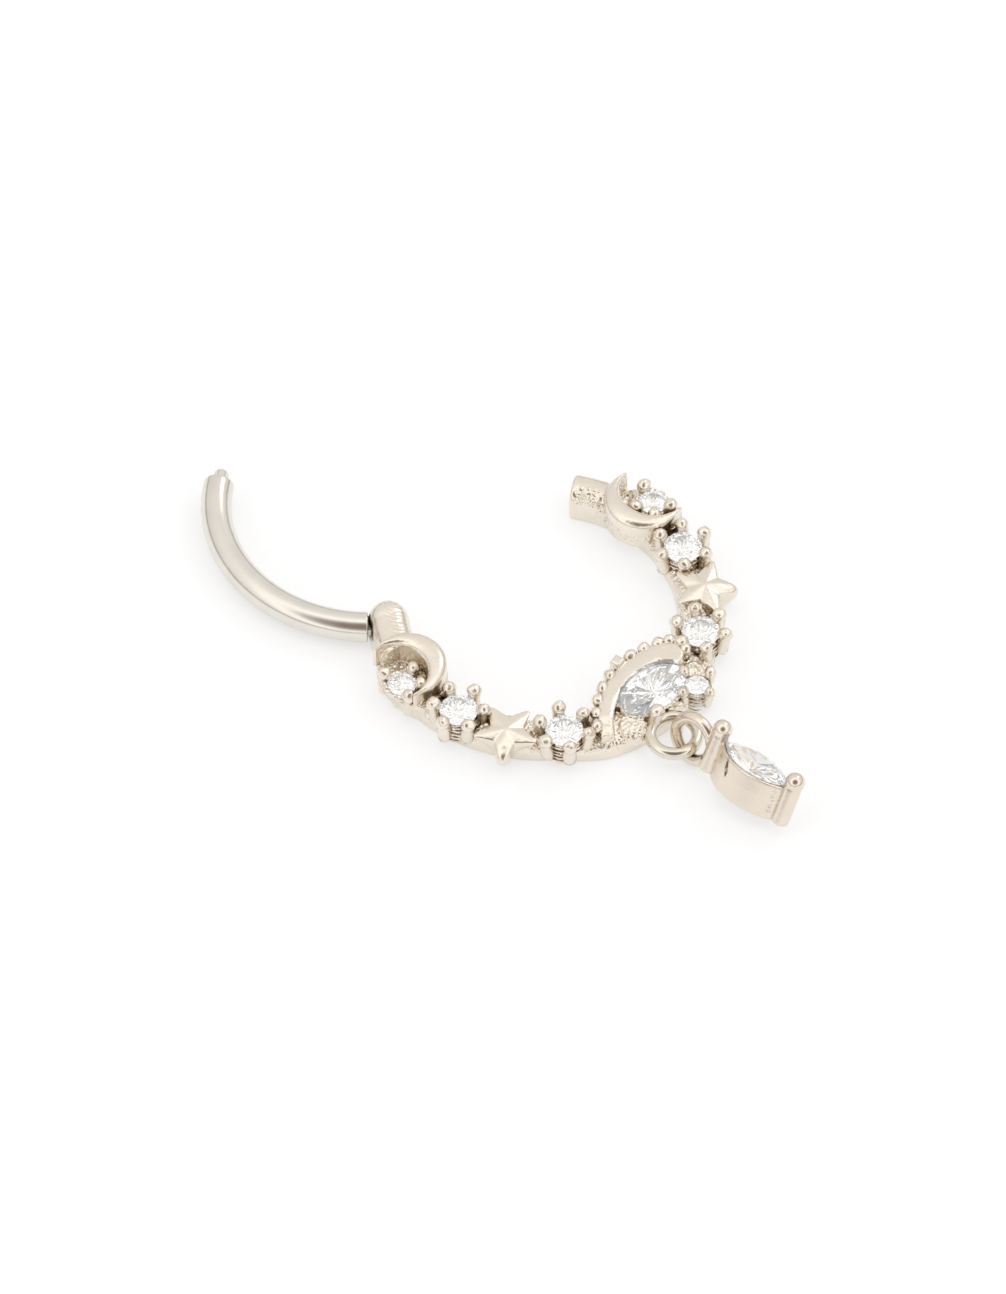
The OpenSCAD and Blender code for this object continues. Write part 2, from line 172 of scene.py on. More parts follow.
# Each moon is a crescent with a smooth rounded crown, cast across the shank. Its horns open outwards
# round a teardrop cup, whose plain wall bulges past the shank and holds the moon's stone.
moon_at = (8.22, 1.28)
moon_r = 2.0
moon_hollow_at = (9.16, 1.42)
moon_hollow_r = 1.78
moon_foot = 0.6
moon_floor_r = 1.25
moon_floor_z = 0.95
moon_horn_z = 1.98
moon_crown_z = 2.42
left_moon_rise = 0.26
left_moon_shift = 0.12
moon_stone_at = (8.82, 1.13)
moon_stone_d = 1.5
moon_stone_z = 1.5
cup_angles = [-5.5, 22.5]
crown_power = 0.7
crown_rise = 0.45
horn_half = 0.11
moon_floor_foot = 0.5
moon_cup_profile = [(0.55, 0.1), (0.72, 0.7), (0.9, 1.2), (0.93, 1.46)]
wall_in_r = 7.4
wall_foot_r = 8.8
wall_foot_bulge = 0.55
wall_foot_z = 0.12
wall_rim_r = 8.85
wall_rim_bulge = 0.95
wall_rim_z = 1.3
wall_top_z = 1.38
wall_edge = 0.1
wall_low = 0.45
wall_low_from = (12, 19)
wall_flare = [(0.45, 0.55), (0.8, 0.95)]
wall_power = 0.75


def moved(form, matrix):
    """A form carried by a matrix."""
    points, faces = form
    return [matrix @ p for p in points], faces


def mirrored(form):
    """The same form on the ring's other side."""
    points, faces = form
    return [Vector((-p.x, p.y, p.z)) for p in points], faces


def inner_edge(angle, at, hollow_at, hollow_r):
    """Distance from a middle to the far side of another circle round it."""
    along = Vector((math.cos(math.radians(angle)), math.sin(math.radians(angle))))
    gap = Vector(hollow_at) - Vector(at)
    return along.dot(gap) + math.sqrt(along.dot(gap) ** 2 - gap.length_squared + hollow_r ** 2)


moon_gap = Vector(moon_hollow_at) - Vector(moon_at)
moon_opens = math.degrees(math.atan2(moon_gap.y, moon_gap.x))
horn_cos = (moon_r ** 2 + moon_gap.length_squared - moon_hollow_r ** 2) / (2 * moon_gap.length * moon_r)
horn_turn = math.degrees(math.acos(horn_cos))
moon_horns = [moon_opens + horn_turn, moon_opens + 360 - horn_turn]


def crescent_ring(angle):
    """The crescent's section at an angle round its own middle. It is lowest at the horns."""
    inner = inner_edge(angle, moon_at, moon_hollow_at, moon_hollow_r)
    half = max(horn_half, (moon_r - inner) / 2)
    share = math.sin(math.pi * (angle - moon_horns[0]) / (moon_horns[1] - moon_horns[0]))
    crown = moon_horn_z + (moon_crown_z - moon_horn_z) * max(0.0, share) ** crown_power
    rise = min(crown_rise, 1.2 * half)
    middle = (moon_r + inner) / 2
    outline = [(half, moon_foot)] + arch(half, rise, crown - rise, fullness) + [(-half, moon_foot)]
    return [polar(middle + x, angle, z, moon_at) for x, z in outline]


def moon_wall_ring(angle):
    """The teardrop cup's wall, cut across the ring. It is low beside the horn."""
    share = math.sin(math.pi * (angle - cup_angles[0]) / (cup_angles[1] - cup_angles[0]))
    share = max(0.0, share) ** wall_power
    tall = 1 - wall_low * ease(*wall_low_from, angle)
    foot = wall_foot_r + wall_foot_bulge * share
    rim = wall_rim_r + wall_rim_bulge * share
    outline = [(wall_in_r, 0), (foot - wall_edge, 0), (foot, wall_foot_z)]
    outline += [(foot + out * (rim - foot), z) for out, z in wall_flare]
    outline += [(rim, wall_rim_z), (rim - wall_edge, wall_top_z), (wall_in_r, wall_rim_z)]
    return [polar(r, angle, z * tall) for r, z in outline]


crescent = lofted([crescent_ring(a) for a in steps(*moon_horns, 70)])
moon_cup = [lofted([moon_wall_ring(a) for a in steps(*cup_angles, 28)]),
            turned([(moon_floor_r, moon_floor_foot), (moon_floor_r, moon_floor_z)], moon_at),
            turned(moon_cup_profile, moon_stone_at)]
nudge = Matrix.Translation((left_moon_shift, left_moon_shift, left_moon_rise))
moons = [crescent, moved(mirrored(crescent), nudge)] + moon_cup + [mirrored(form) for form in moon_cup]

# Each of the four round stones sits in a round cup, cast in one with the base and eased at its rim. The
# gallery under the stone and the prongs that hold it have sections of their own.
stone_d = 2.0
stone_z = 1.62
settings = [(-7.87, -2.18, 9.4), (-4.78, -6.85, 0.3), (7.87, -2.18, -9.4), (4.78, -6.85, -0.3)]
cup_r = 0.98
cup_top = 1.5
cup_profile = [(cup_r - 0.08, 0.04), (cup_r, 0.12), (cup_r, cup_top - 0.06), (cup_r - 0.06, cup_top)]
cups = [turned(cup_profile, (x, y)) for x, y, turn in settings]

# The halo is a flat crescent plate round the inner side of the centre stone, with a round right end and
# one square prong. It is cast on the base, with the centre stone's oval cup, the small stone's cup and a
# low knob at the centre stone's other corner.
centre_at = (0.4, -7.95)
centre_l = 4.1
centre_w = 2.5
centre_z = 1.6
halo_at = (0.79, -10.82)
halo_r = 5.06
halo_in_at = (0.59, -11.14)
halo_in_r = 4.32
halo_angles = [66, 152]
halo_foot = 0.45
halo_z = 1.95
halo_end_at = (2.5, -7)
halo_end_r = 0.72
halo_edge = 0.09
halo_foot_in = 0.1
halo_least = 0.3
halo_dip = 0.3
halo_dip_from = 138
halo_fullness = 3.2
small_at = (2.35, -9.2)
small_d = 1.25
small_z = 1.45
knob_at = (-1.75, -8.75)
knob_profile = [(0.9, 0.6), (0.85, 1.2), (0.6, 1.42)]
centre_cup = [(3.3, 1.8, 0.1), (3.9, 2.3, 0.9), (4.3, 2.7, 1.45), (4.25, 2.65, 1.55)]
small_cup = [(0.45, 0.2), (0.6, 0.9), (0.72, 1.36)]
square_prong = [(0.4, halo_foot), (0.42, 2.04), (0.34, 2.14)]
square_prong_at = (0.1, -5.6, 0)
square_prong_turn = 60


def halo_ring(angle):
    """The plate's section at an angle round its own middle. It dips towards its left end."""
    inner = min(inner_edge(angle, halo_at, halo_in_at, halo_in_r), halo_r - halo_least)
    top = halo_z - halo_dip * ease(halo_dip_from, halo_angles[1], angle)
    half = (halo_r - inner) / 2
    outline = [(half - halo_foot_in, halo_foot)]
    outline += arch(half, 2 * halo_edge, top - 2 * halo_edge, halo_fullness)
    outline += [(-half, halo_foot)]
    return [polar(halo_r - half + x, angle, z, halo_at) for x, z in outline]


def oval(length, width, z, sides=48):
    """An oval round the centre stone's middle."""
    return [Vector((centre_at[0] + length / 2 * math.cos(2 * math.pi * k / sides),
                    centre_at[1] + width / 2 * math.sin(2 * math.pi * k / sides), z))
            for k in range(sides)]


square_place = Matrix.Translation(square_prong_at) @ Matrix.Rotation(math.radians(square_prong_turn), 4, "Z")
halo_end = [(halo_end_r - halo_foot_in, halo_foot), (halo_end_r, halo_z - halo_edge),
            (halo_end_r - halo_edge, halo_z)]
halo = [lofted([halo_ring(a) for a in steps(*halo_angles, 60)]),
        turned(halo_end, halo_end_at),
        lofted([oval(*row) for row in centre_cup]),
        turned(small_cup, small_at),
        turned(knob_profile, knob_at),
        moved(turned(square_prong, sides=4), square_place)]

# The flat loop is a ring of round plated wire, soldered to the base in front of the centre. It carries
# the bail of the drop.
wire_d = 0.66
loop_at = (-0.52, -10.57)
loop_z = 1.04
loop_d = 2.42
loop_place = Matrix.Translation((loop_at[0], loop_at[1], loop_z))
solder_out = 1.42
solder = [(0.3, loop_z - 0.38), (0.5, loop_z - 0.2), (0.56, loop_z), (0.45, loop_z + 0.24),
          (0.2, loop_z + 0.34)]


def wire_ring(middle_d, wire, turns=56, sides=18):
    """A closed ring of round wire, flat round its own middle."""
    rings = []
    for a in steps(0, 360, turns + 1)[:-1]:
        rings.append([polar(middle_d / 2 + wire / 2 * math.cos(2 * math.pi * k / sides), a,
                            wire / 2 * math.sin(2 * math.pi * k / sides)) for k in range(sides)])
    return lofted(rings, closed=True)


def mesh_of(name, forms):
    """One mesh object from closed forms, with every face turned outwards."""
    points = []
    faces = []
    for form_points, form_faces in forms:
        start = len(points)
        points += form_points
        faces += [[start + i for i in face] for face in form_faces]
    mesh = bpy.data.meshes.new(name)
    mesh.from_pydata(points, [], faces)
    work = bmesh.new()
    work.from_mesh(mesh)
    bmesh.ops.recalc_face_normals(work, faces=work.faces)
    work.to_mesh(mesh)
    work.free()
    piece = bpy.data.objects.new(name, mesh)
    bpy.context.scene.collection.objects.link(piece)
    return piece


def place(piece, angle=40.0):
    """Brings a piece from the ring's millimetres to the frame's metres, smooth but for its sharp edges."""
    piece.data.transform(Matrix.Translation(ring_middle) @ Matrix.Scale(mm, 4))
    for face in piece.data.polygons:
        face.use_smooth = True
    piece.data.set_sharp_from_angle(angle=math.radians(angle))
    return piece


def metal(name, colour, roughness, painted_shade, grain_size, grain_depth):
    """Metal with faint clouding, painted shade that darkens its recesses by ambient occlusion, and a grain sized
    in metres.
    """
    made = bpy.data.materials.new(name)
    made.use_nodes = True
    nodes = made.node_tree.nodes
    links = made.node_tree.links
    skin = nodes["Principled BSDF"]
    skin.inputs["Metallic"].default_value = 1.0
    where = nodes.new("ShaderNodeTexCoord")
    cloud = nodes.new("ShaderNodeTexNoise")
    cloud.inputs["Scale"].default_value = 700.0
    cloud.inputs["Detail"].default_value = 4.0
    links.new(where.outputs["Object"], cloud.inputs["Vector"])
    tone = nodes.new("ShaderNodeValToRGB")
    tone.color_ramp.elements[0].position = 0.3
    tone.color_ramp.elements[0].color = [0.93 * c for c in colour] + [1]
    tone.color_ramp.elements[1].position = 0.7
    tone.color_ramp.elements[1].color = list(colour) + [1]
    links.new(cloud.outputs["Fac"], tone.inputs["Fac"])
    # Painted shade: ambient occlusion darkens the base colour towards the painted shade colour in recesses and
    # between parts, where shade falls.
    shade = nodes.new("ShaderNodeAmbientOcclusion")
    shade.samples = 8
    shade.inputs["Distance"].default_value = 0.0008
    open_sky = nodes.new("ShaderNodeMapRange")
    open_sky.inputs["From Min"].default_value = 0.15
    open_sky.inputs["From Max"].default_value = 0.52
    links.new(shade.outputs["AO"], open_sky.inputs["Value"])
    deep = nodes.new("ShaderNodeMix")
    deep.data_type = "RGBA"
    deep.inputs[6].default_value = list(painted_shade) + [1]
    links.new(open_sky.outputs["Result"], deep.inputs[0])
    links.new(tone.outputs["Color"], deep.inputs[7])
    links.new(deep.outputs[2], skin.inputs["Base Color"])
    polish = nodes.new("ShaderNodeMapRange")
    polish.inputs["To Min"].default_value = roughness * 0.8
    polish.inputs["To Max"].default_value = roughness * 1.3
    links.new(cloud.outputs["Fac"], polish.inputs["Value"])
    links.new(polish.outputs["Result"], skin.inputs["Roughness"])
    grain = nodes.new("ShaderNodeTexNoise")
    grain.inputs["Scale"].default_value = 1 / grain_size
    grain.inputs["Detail"].default_value = 3.0
    links.new(where.outputs["Object"], grain.inputs["Vector"])
    bump = nodes.new("ShaderNodeBump")
    bump.inputs["Strength"].default_value = 1.0
    bump.inputs["Distance"].default_value = grain_depth
    links.new(grain.outputs["Fac"], bump.inputs["Height"])
    links.new(bump.outputs["Normal"], skin.inputs["Normal"])
    return made


solder_at = (loop_at[0], loop_at[1] + solder_out)
loop = mesh_of("flat_loop", [moved(wire_ring(loop_d, wire_d, 96, 28), loop_place)])
place(loop)
wire_silver = metal("drawn_silver_wire", colour=(0.8, 0.75, 0.65), roughness=0.14,
                    painted_shade=(0.3, 0.22, 0.14), grain_size=0.0003, grain_depth=0.000001)
loop.data.materials.append(wire_silver)
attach(loop, "root")

# The casting is the shank, barrel, base, moons, cups and halo in one, of plated white metal. It is cut
# for its stones, tongue, rivet and pocket, and left with a cast grain wherever a polishing wheel doesn't
# reach.
cast_voxel = 0.05
kept_share = 0.62
cast_depth = 0.035
cast_size = 0.16
cast_back_z = 0.1
cast_band = (166, 24)
cast_band_foot = (0.5, 0.9)
cast_band_top = (1.5, 1.75)
torn_band = (21, 34)
torn_foot = (1.1, 1.4)
torn_in = (0.1, 0.3)
hollow_past = 0.05
hollow_to_r = 9
rough_all = 0.12
rough_band = 1.4
rough_torn = 1.5
rough_hollow = 1.8
rib_ends = (138, 158)
rib_pitch = 0.26
rib_depth = 0.011
rib_bend = 0.4
rib_waver = 0.12
rib_fade = (-0.1, 0.5)
slot_h = 0.58
slot_r = 1.14
pin_d = 0.66
bore_top = 1.6
seat_gap = 0.05
seat_point_r = 0.05
seat_clear = 0.5
centre_clear = 0.6
pavilion_share = 0.4
nipple_d = 0.74
pocket_gap = 0.06
pocket_l = 0.9
pocket_out = 1.1
overcut = 0.1
silver = metal("cast_silver", colour=(0.9, 0.83, 0.725), roughness=0.22,
               painted_shade=(0.46, 0.37, 0.26), grain_size=0.00016, grain_depth=0.000012)
bright_cut = metal("bright_cut_seat", colour=(0.95, 0.93, 0.9), roughness=0.1,
                   painted_shade=(0.9, 0.88, 0.84), grain_size=0.0002, grain_depth=0.000002)


def settle(piece):
    """Makes a piece's modifiers part of its mesh."""
    bpy.context.view_layer.update()
    depsgraph = bpy.context.evaluated_depsgraph_get()
    made = bpy.data.meshes.new_from_object(piece.evaluated_get(depsgraph))
    piece.modifiers.clear()
    piece.data = made
    return piece


def fused(name, forms, voxel, passes):
    """Fuses overlapping forms into one solid with softened joints, as a casting has them."""
    piece = mesh_of(name, forms)
    fuse = piece.modifiers.new("fuse", "REMESH")
    fuse.mode = "VOXEL"
    fuse.voxel_size = voxel
    soften = piece.modifiers.new("soften", "SMOOTH")
    soften.factor = 0.5
    soften.iterations = passes
    return settle(piece)


def cut(piece, forms, finish=None):
    """Takes the forms away from a fused solid, and gives the cut faces a finish of their own if named."""
    cutter = mesh_of(piece.name + "_cutter", forms)
    if finish:
        cutter.data.materials.append(finish)
    take = piece.modifiers.new("cut", "BOOLEAN")
    take.operation = "DIFFERENCE"
    take.solver = "MANIFOLD"
    take.material_mode = "TRANSFER"
    take.object = cutter
    settle(piece)
    bpy.data.objects.remove(cutter)
    return piece


def rough_cast(piece, depth, size, where):
    """Pushes the skin in and out by a cast grain, by as much as where(point) says."""
    skin = [(v.co.copy(), v.normal.copy()) for v in piece.data.vertices]
    for v, (point, out) in zip(piece.data.vertices, skin):
        grain = noise.fractal(point / size, 1.0, 2.0, 3) + 0.5 * noise.noise(point * 2.3 / size)
        v.co = point + out * grain * depth * where(point)


def seat(at, diameter, z):
    """What a round stone's seat takes away: a cone for the pavilion and a clear way in from above."""
    r = diameter / 2 + seat_gap
    deep = pavilion_share * diameter + 2 * seat_gap
    return turned([(seat_point_r, z - deep), (r, z), (r, z + seat_clear)], at)


def seats():
    """The seats of the round stones, the moons' stones, the small stone and the centre stone."""
    made = [seat((x, y), stone_d, stone_z) for x, y, turn in settings]
    moon_seat = seat(moon_stone_at, moon_stone_d, moon_stone_z)
    made += [moon_seat, mirrored(moon_seat), seat(small_at, small_d, small_z)]
    deep = pavilion_share * centre_w + 2 * seat_gap
    long = centre_l + 2 * seat_gap
    wide = centre_w + 2 * seat_gap
    made.append(lofted([oval(centre_l - centre_w, 2 * seat_point_r, centre_z - deep),
                        oval(long, wide, centre_z), oval(long, wide, centre_z + centre_clear)]))
    return made


def hinge_cuts():
    """The slot for the bar's tongue and the bore for the rivet."""
    slot = turned([(slot_r, hinge.z - slot_h / 2), (slot_r, hinge.z + slot_h / 2)], hinge)
    bore = turned([(pin_d / 2, -overcut), (pin_d / 2, bore_top)], hinge)
    return [slot, bore]


def pocket():
    """A bore for the nipple, open at the ring's outer side, where the nipple swings in."""
    turn = Matrix.Rotation(math.radians(socket_angle), 4, "Z")
    turn = turn @ Matrix.Translation((ring_r, overcut, hinge.z)) @ Matrix.Rotation(math.radians(90), 4, "X")
    bore_r = nipple_d / 2 + pocket_gap
    corners = [(0, -bore_r), (pocket_out, -bore_r), (pocket_out, bore_r), (0, bore_r)]
    mouth = lofted([[Vector((x, y, z)) for x, y in corners] for z in (0, pocket_l + overcut)])
    bore = turned([(bore_r, 0), (bore_r, pocket_l + overcut)])
    return [moved(bore, turn), moved(mouth, turn)]


def cast_grain(p):
    """How rough the casting is at a point: rough in the hidden hollows, smooth on crowns and ends."""
    radius = math.hypot(p.x, p.y)
    angle = math.degrees(math.atan2(p.y, p.x)) % 360
    if p.z < cast_back_z:
        return 0.0
    hollow = 0.0
    if cast_band[0] < angle or angle < cast_band[1]:
        hollow = rough_band * (ease(*cast_band_foot, p.z) * (1 - ease(*cast_band_top, p.z)))
    torn = 0.0
    if torn_band[0] < angle < torn_band[1]:
        torn = rough_torn * ease(*torn_foot, p.z) * ease(*torn_in, ring_r - radius)
    from_hollow = (Vector((abs(p.x), p.y)) - Vector(moon_hollow_at)).length
    if from_hollow < moon_hollow_r + hollow_past and radius < hollow_to_r and p.z < moon_horn_z:
        hollow = rough_hollow
    return rough_all + hollow + torn


def ribbed(piece):
    """File marks: shallow curved ribs across the crown of the barrel's end."""
    for v in piece.data.vertices:
        angle = math.degrees(math.atan2(v.co.y, v.co.x))
        across = v.co.xy.length - ring_r
        if rib_ends[0] < angle < rib_ends[1] and v.co.z > barrel_h - barrel_r:
            waver = rib_waver * noise.noise(3 * v.co)
            along = math.radians(angle) * ring_r + (across + rib_bend) ** 2 + waver
            v.co.z += rib_depth * math.sin(2 * math.pi * along / rib_pitch) * (1 - ease(*rib_fade, across))


cast_forms = shank + [barrel, base] + moons + cups + halo + [turned(solder, solder_at)]
casting = fused("casting", cast_forms, cast_voxel, passes=2)
rough_cast(casting, cast_depth, cast_size, cast_grain)
ribbed(casting)
casting.data.materials.append(silver)
thin = casting.modifiers.new("thin", "DECIMATE")
thin.ratio = kept_share
settle(casting)
cut(casting, hinge_cuts())
for form in pocket():
    cut(casting, [form])
cut(casting, seats(), bright_cut)
place(casting)
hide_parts("cast_frame")
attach(casting, "root")

# The round stones have six prongs each, cast with their cups. Each prong runs down the cup's side like a
# bullet and ends in a round tip that is pushed over the girdle, and no two are quite alike.
prong_r = 1.32
prong_top = 1.87
tip_r = 0.37
prong_splay = 8
dented = 0.05
dent_size = 0.45


def tip(radius, z, first):
    """The ball on a prong's tip, from an angle under its middle to its top."""
    return [(radius * math.cos(math.radians(t)), z + radius * math.sin(math.radians(t)))
            for t in steps(first, 88, 12)]


def repeat_tree():
    """Sets a shape on every point, at the point's own size and lean, with a little spread in size."""
    tree = bpy.data.node_groups.new("repeat_on_points", "GeometryNodeTree")
    sockets = {}
    for label, kind in [("Geometry", "NodeSocketGeometry"), ("Shape", "NodeSocketObject"),
                        ("Metal", "NodeSocketMaterial"), ("Size spread", "NodeSocketFloat"),
                        ("Seed", "NodeSocketInt")]:
        sockets[label] = tree.interface.new_socket(name=label, in_out="INPUT", socket_type=kind)
    tree.interface.new_socket(name="Geometry", in_out="OUTPUT", socket_type="NodeSocketGeometry")
    nodes = tree.nodes
    links = tree.links
    given = nodes.new("NodeGroupInput")
    shape = nodes.new("GeometryNodeObjectInfo")
    shape.transform_space = "ORIGINAL"
    links.new(given.outputs["Shape"], shape.inputs["Object"])
    size = nodes.new("GeometryNodeInputNamedAttribute")
    size.data_type = "FLOAT"
    size.inputs["Name"].default_value = "size"
    lean = nodes.new("GeometryNodeInputNamedAttribute")
    lean.data_type = "FLOAT_VECTOR"
    lean.inputs["Name"].default_value = "lean"
    to_turn = nodes.new("FunctionNodeEulerToRotation")
    links.new(lean.outputs["Attribute"], to_turn.inputs["Euler"])
    low = nodes.new("ShaderNodeMath")
    low.operation = "SUBTRACT"
    low.inputs[0].default_value = 1.0
    links.new(given.outputs["Size spread"], low.inputs[1])
    high = nodes.new("ShaderNodeMath")
    high.operation = "ADD"
    high.inputs[0].default_value = 1.0
    links.new(given.outputs["Size spread"], high.inputs[1])
    spread = nodes.new("FunctionNodeRandomValue")
    spread.data_type = "FLOAT"
    links.new(low.outputs[0], spread.inputs[2])
    links.new(high.outputs[0], spread.inputs[3])
    links.new(given.outputs["Seed"], spread.inputs["Seed"])
    scale = nodes.new("ShaderNodeMath")
    scale.operation = "MULTIPLY"
    links.new(size.outputs["Attribute"], scale.inputs[0])
    links.new(spread.outputs[1], scale.inputs[1])
    put = nodes.new("GeometryNodeInstanceOnPoints")
    links.new(given.outputs["Geometry"], put.inputs["Points"])
    links.new(shape.outputs["Geometry"], put.inputs["Instance"])
    links.new(to_turn.outputs["Rotation"], put.inputs["Rotation"])
    links.new(scale.outputs[0], put.inputs["Scale"])
    real = nodes.new("GeometryNodeRealizeInstances")
    links.new(put.outputs["Instances"], real.inputs["Geometry"])
    paint = nodes.new("GeometryNodeSetMaterial")
    links.new(real.outputs["Geometry"], paint.inputs["Geometry"])
    links.new(given.outputs["Metal"], paint.inputs["Material"])
    given_back = nodes.new("NodeGroupOutput")
    links.new(paint.outputs["Geometry"], given_back.inputs["Geometry"])
    return tree, sockets


repeat, repeat_sockets = repeat_tree()


def repeated(name, spots, form, spread, seed):
    """The form on each spot. A spot is a point, a size and a lean in degrees about X, Y and Z."""
    shape = mesh_of(name + "_shape", [form])
    mesh = bpy.data.meshes.new(name)
    mesh.from_pydata([spot[0] for spot in spots], [], [])
    sizes = mesh.attributes.new("size", "FLOAT", "POINT")
    leans = mesh.attributes.new("lean", "FLOAT_VECTOR", "POINT")
    for i, (point, size, lean) in enumerate(spots):
        sizes.data[i].value = size
        leans.data[i].vector = [math.radians(d) for d in lean]
    piece = bpy.data.objects.new(name, mesh)
    bpy.context.scene.collection.objects.link(piece)
    grow = piece.modifiers.new("repeat", "NODES")
    grow.node_group = repeat
    grow[repeat_sockets["Shape"].identifier] = shape
    grow[repeat_sockets["Metal"].identifier] = silver
    grow[repeat_sockets["Size spread"].identifier] = spread
    grow[repeat_sockets["Seed"].identifier] = seed
    settle(piece)
    bpy.data.objects.remove(shape)
    rough_cast(piece, dented, dent_size, lambda p: 1.0)
    return place(piece)


def ring_of_spots(at, radius, angles, z, size=1.0, splay=0.0):
    """Spots round a stone, each leaning outwards by splay degrees."""
    made = []
    for a in angles:
        lean = (-splay * math.sin(math.radians(a)), splay * math.cos(math.radians(a)), 0)
        made.append((polar(radius, a, z, at), size, lean))
    return made


round_prong = [(0.12, -1.5), (0.26, -1.42), (0.35, -1.25), (0.37, -0.8), (0.33, -0.3)] + tip(tip_r, 0, -28)
prong_spots = []
for x, y, turn in settings:
    angles = [turn + 60 * i for i in range(6)]
    prong_spots += ring_of_spots((x, y), prong_r, angles, prong_top, splay=prong_splay)
prongs = repeated("round_prongs", prong_spots, turned(round_prong, sides=24), spread=0.03, seed=3)
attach(prongs, "root")

# The galleries are the stepped walls under the round stones and the small stone, cast with their cups.
# Their steps show as the rungs of a small ladder between the outer prongs.
rung_r = 1.02
rung_wire = 0.1
rung_heights = [0.3, 0.56, 0.82, 1.08, 1.34]
small_rung = 0.75
rung = wire_ring(2 * rung_r, rung_wire, 48, 8)
rung_spots = [(Vector((x, y, z)), 1.0, (0, 0, turn)) for x, y, turn in settings for z in rung_heights]
rung_spots += [(Vector((small_at[0], small_at[1], z)), small_rung, (0, 0, 0)) for z in rung_heights]
galleries = repeated("galleries", rung_spots, rung, spread=0.01, seed=4)
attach(galleries, "root")

# The moons' stones and the small stone have four prongs each, cast with their cups. One more prong, with
# a larger tip, leans over the centre stone from its lower left.
moon_prong_r = 1.03
moon_prong_z = 1.72
moon_prong_size = 1.25
moon_prongs = [72, 168, 232, 292]
small_prong_r = 0.96
small_prong_z = 1.66
small_prong_size = 1.05
small_prong_splay = 10
centre_prong = (Vector((-0.55, -9.3, 1.82)), 1.4, (0, 20, 0))
small_prong = [(0.1, -1.2), (0.22, -1.1), (0.26, -0.6), (0.24, -0.3)] + tip(0.3, 0, -30)
small_spots = ring_of_spots(moon_stone_at, moon_prong_r, moon_prongs, moon_prong_z, moon_prong_size)
small_spots += [(Vector((-p.x, p.y, p.z)), size, lean) for p, size, lean in small_spots]
small_spots += ring_of_spots(small_at, small_prong_r, [0, 90, 180, 270], small_prong_z, small_prong_size,
                             small_prong_splay)
small_spots += [centre_prong]
small_prongs = repeated("small_prongs", small_spots, turned(small_prong, sides=20), spread=0.04, seed=5)
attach(small_prongs, "root")

# Milgrain is the row of beads round the halo's edge. It is cut in the wax and cast with the halo, so its
# beads are a little uneven.
bead_d = 0.66
bead_long = 1.16
bead_z = 1.74
bead_out = 0.09
bead_first = 69.5
bead_pitch = 9.4
bead_count = 9
end_bead_out = 0.18
end_turns = [-14, 18.5, 51]
bead_turns = [bead_first + bead_pitch * i for i in range(bead_count)]
ball = [(bead_d / 2 * math.cos(math.radians(t)), bead_d / 2 * math.sin(math.radians(t)))
        for t in steps(-88, 88, 13)]
bead = moved(turned(ball, sides=24), Matrix.Diagonal((1, bead_long, 1, 1)))
bead_spots = [(polar(halo_r + bead_out, a, bead_z, halo_at), 1.0, (0, 0, a)) for a in bead_turns]
bead_spots += [(polar(halo_end_r + end_bead_out, a, bead_z, halo_end_at), 1.0, (0, 0, a))
               for a in end_turns]
milgrain = repeated("milgrain", bead_spots, bead, spread=0.05, seed=8)
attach(milgrain, "root")

# The stars are cast with the base, each with five softly ridged arms with blunt tips. The outer arm
# droops over the side of the base as a thick round lobe.
stars = [(-6.97, -4.81, 220), (6.97, -4.81, 321)]
star_arms = 5
half_arm = 180 / star_arms
star_sides = 80
star_r = 2.02
star_blunt = 0.87
star_peak_z = 1.83
star_tip_z = 1.64
star_valley = 0.46
star_valley_drop = 0.04
star_valley_power = 0.9
star_crease = 2.2
star_crease_w = 1.1
star_droop = 0.68
star_rows = [0.03, 0.12, 0.25, 0.4, 0.55, 0.7, 0.82, 0.92, 1.0]
star_skirt = [(1.4, 0.15, 0.9), (1.05, 0.5, 0.9), (0.5, 0.9, 0.8)]
skirt_droop = 0.3
star_voxel = 0.03
star_passes = 45
fin_w = 0.8
fin_l = 1.0
fin_sides = 24
fin = [(0.25, 1.15), (0.45, 1.42), (0.7, 1.62), (0.92, 1.72), (1.1, 1.74), (1.28, 1.68), (1.42, 1.54),
       (1.52, 1.3)]


def star_form():
    """The softly ridged top, and a skirt that rounds off on its way down to the base."""
    outline = []
    valley_at = polar(star_valley, half_arm)
    for k in range(star_sides):
        off = abs((k * star_arms / star_sides + 0.5) % 1 - 0.5) * 2
        turn = math.radians(half_arm * off)
        reach = valley_at.y / (valley_at.y * math.cos(turn) + (1 - valley_at.x) * math.sin(turn))
        outline.append((polar(star_r * min(star_blunt, reach), 360 * k / star_sides), off))
    rings = []
    for share in star_rows:
        ridge = star_peak_z + (star_tip_z - star_peak_z) * share
        valley = star_peak_z + (star_tip_z - star_valley_drop - star_peak_z) * share ** star_valley_power
        ring = []
        for p, off in outline:
            droop = star_droop * max(0.0, p.x * share / star_r) ** 3
            z = ridge + (valley - ridge) * min(1.0, star_crease_w * off) ** star_crease - droop
            ring.append(Vector((p.x * share, p.y * share, z)))
        rings.append(ring)
    for height, rounded, r in star_skirt:
        ring = []
        for p, off in outline:
            flat = p.xy * (1 - rounded) + p.xy.normalized() * r * rounded
            z = height - skirt_droop * (1 - rounded) * max(0.0, p.x / star_r)
            ring.append(Vector((flat.x, flat.y, z)))
        rings.append(ring)
    return lofted(rings)


def fin_form():
    """The outer arm is thick and rounds down over the side of the base."""
    rings = []
    for z, reach in fin:
        turns = [2 * math.pi * k / fin_sides for k in range(fin_sides)]
        rings.append([Vector((reach - fin_l / 2 + fin_l / 2 * math.cos(t), fin_w / 2 * math.sin(t), z))
                      for t in turns])
    return lofted(rings)


